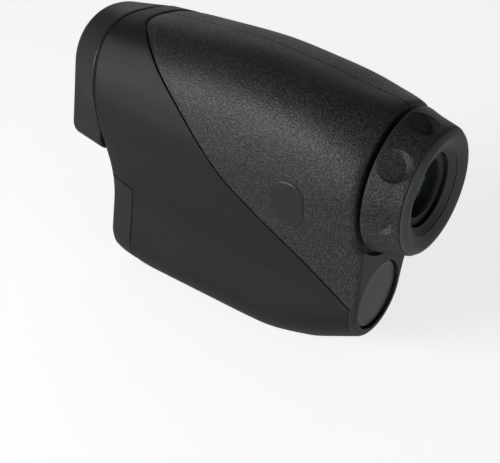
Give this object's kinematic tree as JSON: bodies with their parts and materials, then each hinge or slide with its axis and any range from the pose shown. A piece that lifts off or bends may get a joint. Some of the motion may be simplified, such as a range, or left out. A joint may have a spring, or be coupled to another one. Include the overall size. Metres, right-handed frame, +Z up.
{
  "type": "monocular laser speed gun",
  "caption": "Palm-size monocular laser speed gun with an objective hood, dioptre ring and eyecup, battery grip with a hinged door, and fire and mode buttons.",
  "frame": {"origin": "middle of the footprint, at the lowest level of the grip", "axes": "+Y from the objective hood towards the eyepiece, +X to the device's left side, +Z up"},
  "size_m": [0.0411, 0.1028, 0.0735],
  "materials": {
    "shell": "satin black moulded plastic with a coarse spark-eroded grain",
    "skin": "satin black grip panel with a fine woven texture",
    "hood": "smooth satin black plastic",
    "button": "smooth soft-touch black",
    "rubber": "smooth black rubber",
    "gloss": "high-gloss black blank plate",
    "steel": "plated steel",
    "brass": "gold-plated can",
    "glass": "coated optical glass",
    "board": "green circuit board",
    "chip": "black moulded chip",
    "frame": "black glass-filled plastic",
    "cell": "plain sleeved metal cell"
  },
  "bodies": {
    "casing": {"battery_cell": "cell", "battery_sleeve": "frame", "case_screw_1": "steel", "case_screw_2": "steel", "case_screw_3": "steel", "case_screw_4": "steel", "collar_seal": "rubber", "display_frame": "frame", "display_plate": "glass", "door_hinge_pin": "steel", "emitter_cell": "frame", "emitter_lens": "glass", "eyepiece_collar": "frame", "fire_switch": "steel", "fire_switch_board": "board", "front_hood": "hood", "laser_board": "board", "laser_diode": "brass", "left_grip_skin": "skin", "left_shell": "shell", "main_board": "board", "mode_switch": "steel", "mode_switch_board": "board", "objective_cell": "frame", "objective_lens": "glass", "objective_retainer": "frame", "optical_bench": "frame", "prism_block": "glass", "prism_holder": "frame", "processor_chip": "chip", "rear_contact": "steel", "rear_plate": "gloss", "receiver_board": "board", "receiver_diode": "brass", "right_grip_skin": "skin", "right_shell": "shell", "spring_contact": "steel"},
    "ring": {"dioptre_ring": "shell", "eyecup": "rubber"},
    "ocular": {"ocular_cell": "frame", "eye_lens": "glass", "field_lens": "glass"},
    "door": {"battery_door": "hood", "door_contact": "steel"},
    "fire": {"fire_button": "button"},
    "mode": {"mode_button": "button"}
  },
  "joints": [
    {"name": "ring_turn", "type": "hinge", "parent": "casing", "child": "ring", "pos_m": [0, 0.041, 0.051], "axis": [0, 1, 0], "range_deg": [-60, 60]},
    {"name": "ocular_focus", "type": "slide", "parent": "casing", "child": "ocular", "axis": [0, 1, 0], "range_m": [-0.00105, 0.00105]},
    {"name": "door_swing", "type": "hinge", "parent": "casing", "child": "door", "pos_m": [0, -0.0275, 0.003], "axis": [1, 0, 0], "range_deg": [0, 90]},
    {"name": "fire_press", "type": "slide", "parent": "casing", "child": "fire", "axis": [0.9216, 0, -0.3881], "range_m": [0, 0.0008], "stiffness_N_per_m": 600},
    {"name": "mode_press", "type": "slide", "parent": "casing", "child": "mode", "axis": [-0.9572, 0, 0.2893], "range_m": [0, 0.0008], "stiffness_N_per_m": 600}
  ],
  "couplings": [
    {"joint": "ocular_focus", "follows": "ring_turn", "m_per_rad": 0.00095}
  ]
}
